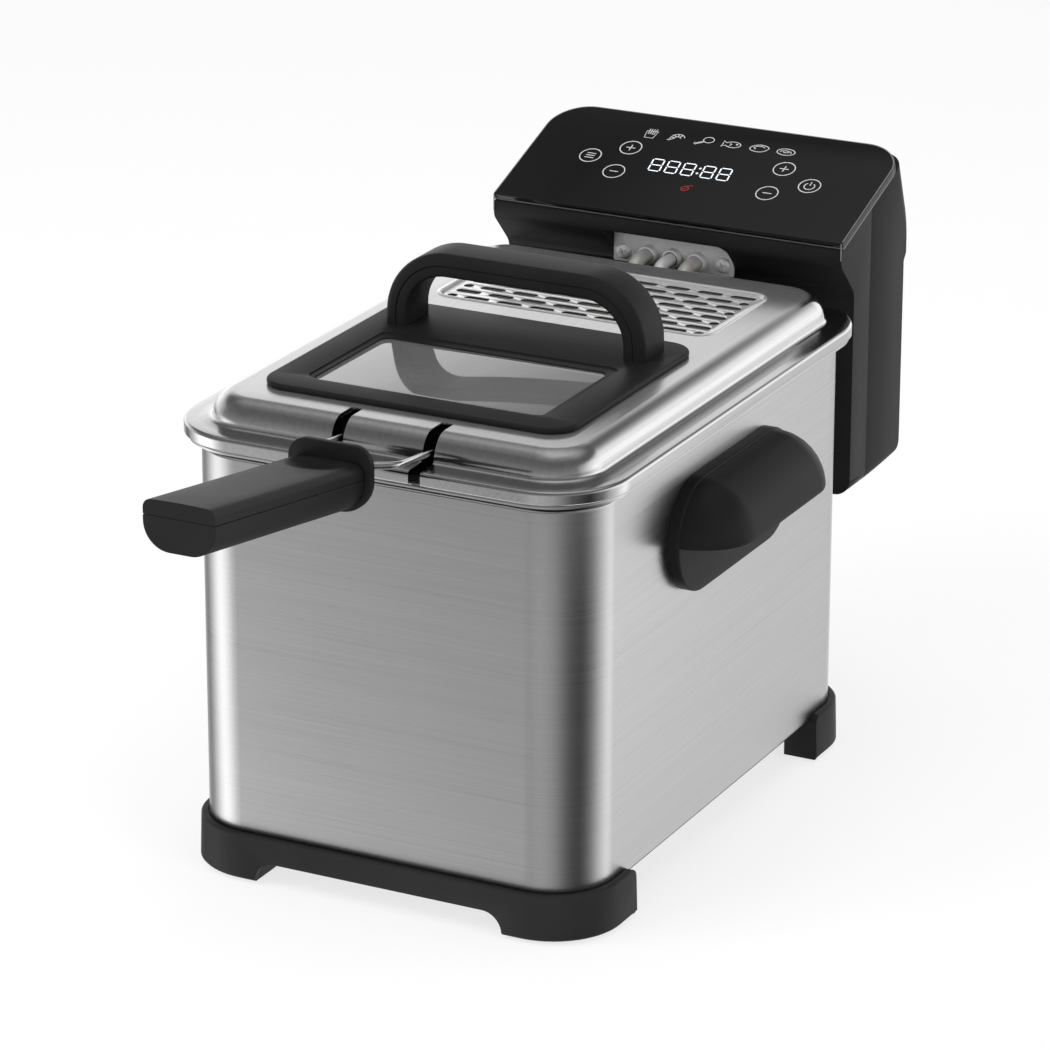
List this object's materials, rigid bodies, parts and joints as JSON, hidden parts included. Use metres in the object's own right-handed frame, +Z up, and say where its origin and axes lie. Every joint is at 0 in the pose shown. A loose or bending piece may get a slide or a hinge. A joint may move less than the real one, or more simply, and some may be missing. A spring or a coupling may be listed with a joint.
{
  "type": "deep fryer",
  "caption": "Countertop deep fryer with steel casing, lift-out bowl and basket, windowed lid with filter, and a lift-off touch control head.",
  "frame": {"origin": "middle of the bounding box, on the table plane under the feet", "axes": "+X to the right seen from the front, +Y from the basket grip at the front towards the control head at the rear, +Z up"},
  "size_m": [0.2954, 0.5916, 0.3029],
  "materials": {
    "casing_steel": "fine horizontal brushing",
    "lid_steel": "smooth pressed satin steel",
    "plain_steel": "plain satin sheet",
    "wire_steel": "bright wire",
    "heater": "heat-darkened steel tube",
    "black_plastic": "fine matte grain",
    "grey_plastic": "fine matte grain",
    "panel_glass": "high gloss",
    "trim": "satin grey",
    "window_glass": "clear polished glass",
    "rubber": "matte",
    "board": "circuit board",
    "switch": "moulded switch body",
    "felt": "active filter felt"
  },
  "bodies": {
    "base": {"outer_casing": "casing_steel", "base_frame": "grey_plastic", "bottom_plate": "plain_steel", "rubber_feet": "rubber", "rim_ring": "black_plastic", "side_handle_left": "black_plastic", "side_handle_right": "black_plastic", "head_rail": "black_plastic"},
    "bowl": {"bowl": "casing_steel"},
    "head": {"head_front_shell": "black_plastic", "head_rear_shell": "black_plastic", "touch_panel": "panel_glass", "panel_trim": "trim", "element_bracket": "plain_steel", "bracket_screws": "wire_steel", "tube_collars": "plain_steel", "heating_element": "heater", "thermostat_probe": "wire_steel", "element_clips": "plain_steel", "control_board": "board", "display_module": "black_plastic", "interlock_switch": "switch", "cord_gland": "black_plastic"},
    "basket": {"basket_floor": "wire_steel", "basket_front_wall": "wire_steel", "basket_rear_wall": "wire_steel", "basket_left_wall": "wire_steel", "basket_right_wall": "wire_steel", "basket_rim_wire": "wire_steel", "handle_wires": "wire_steel", "grip_upper": "black_plastic", "grip_lower": "black_plastic", "grip_collar": "black_plastic"},
    "lid": {"lid_pan": "lid_steel", "window_frame": "black_plastic", "window_glass": "window_glass", "window_seal": "rubber", "lid_handle_shell": "black_plastic", "lid_handle_cap": "black_plastic", "filter_cover": "lid_steel", "filter_mat": "felt", "filter_tray": "black_plastic"}
  },
  "joints": [
    {"name": "bowl_lift", "type": "slide", "parent": "base", "child": "bowl", "axis": [0, 0, 1], "range_m": [0, 0.17]},
    {"name": "head_lift", "type": "slide", "parent": "bowl", "child": "head", "axis": [0, 0, 1], "range_m": [0, 0.175]},
    {"name": "basket_lift", "type": "slide", "parent": "head", "child": "basket", "axis": [0, 0, 1], "range_m": [0, 0.17]},
    {"name": "lid_lift", "type": "slide", "parent": "basket", "child": "lid", "axis": [0, 0, 1], "range_m": [0, 0.12]}
  ]
}
